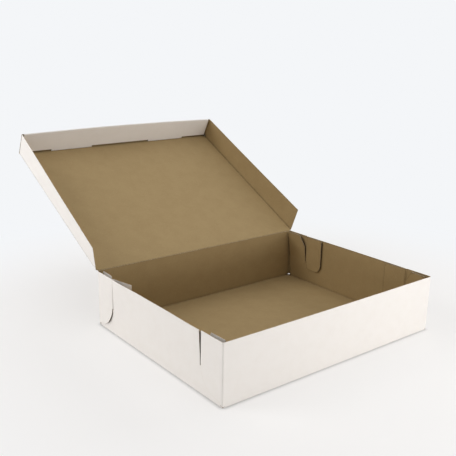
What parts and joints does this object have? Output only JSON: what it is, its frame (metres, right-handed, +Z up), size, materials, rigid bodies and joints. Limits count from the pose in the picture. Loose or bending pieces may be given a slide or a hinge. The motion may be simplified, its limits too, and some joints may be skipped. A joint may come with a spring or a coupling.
{
  "type": "cardboard cake box",
  "caption": "Shallow die-cut paperboard cake box, white outside and kraft inside, with slotted lock corners and a hinged lid whose rolled front wall and side flaps close over the tray.",
  "frame": {"origin": "centre of the tray's underside, on the surface that the box stands on", "axes": "+Z up, -Y towards the front wall, +Y towards the hinge and the opened lid, +X to the right seen from the front"},
  "size_m": [0.494, 0.6939, 0.3126],
  "materials": {
    "coated_board": "smooth white clay coat outside, bare brown kraft inside"
  },
  "bodies": {
    "tray": {"tray": "coated_board"},
    "lid": {"lid": "coated_board"}
  },
  "joints": [
    {"name": "lid_hinge", "type": "hinge", "parent": "tray", "child": "lid", "pos_m": [0, 0.1826, 0.1023], "axis": [-1, 0, 0], "range_deg": [-152.6, 42]}
  ]
}
